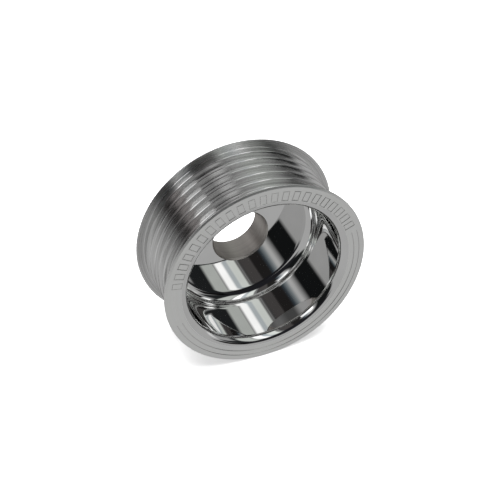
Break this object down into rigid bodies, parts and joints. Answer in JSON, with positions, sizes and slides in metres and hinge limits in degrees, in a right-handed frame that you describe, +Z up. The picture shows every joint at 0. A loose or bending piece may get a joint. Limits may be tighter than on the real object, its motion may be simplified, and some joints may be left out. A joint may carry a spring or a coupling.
{
  "type": "supercharger drive pulley",
  "caption": "Turned aluminium supercharger drive pulley with a ribbed belt track between thin flanges, a deep polished cup and a plain bore with a rear boss.",
  "frame": {"origin": "on the bore axis, at the rear seat face of the boss, where the pulley meets the shaft's shoulder", "axes": "+Y along the bore axis towards the shaft, -Y out of the cup's mouth, +Z up; the pulley stands on its flanges"},
  "size_m": [0.063, 0.0294, 0.063],
  "materials": {
    "turned_aluminium": "turned and polished"
  },
  "bodies": {
    "root": {"pulley": "turned_aluminium"}
  },
  "joints": []
}
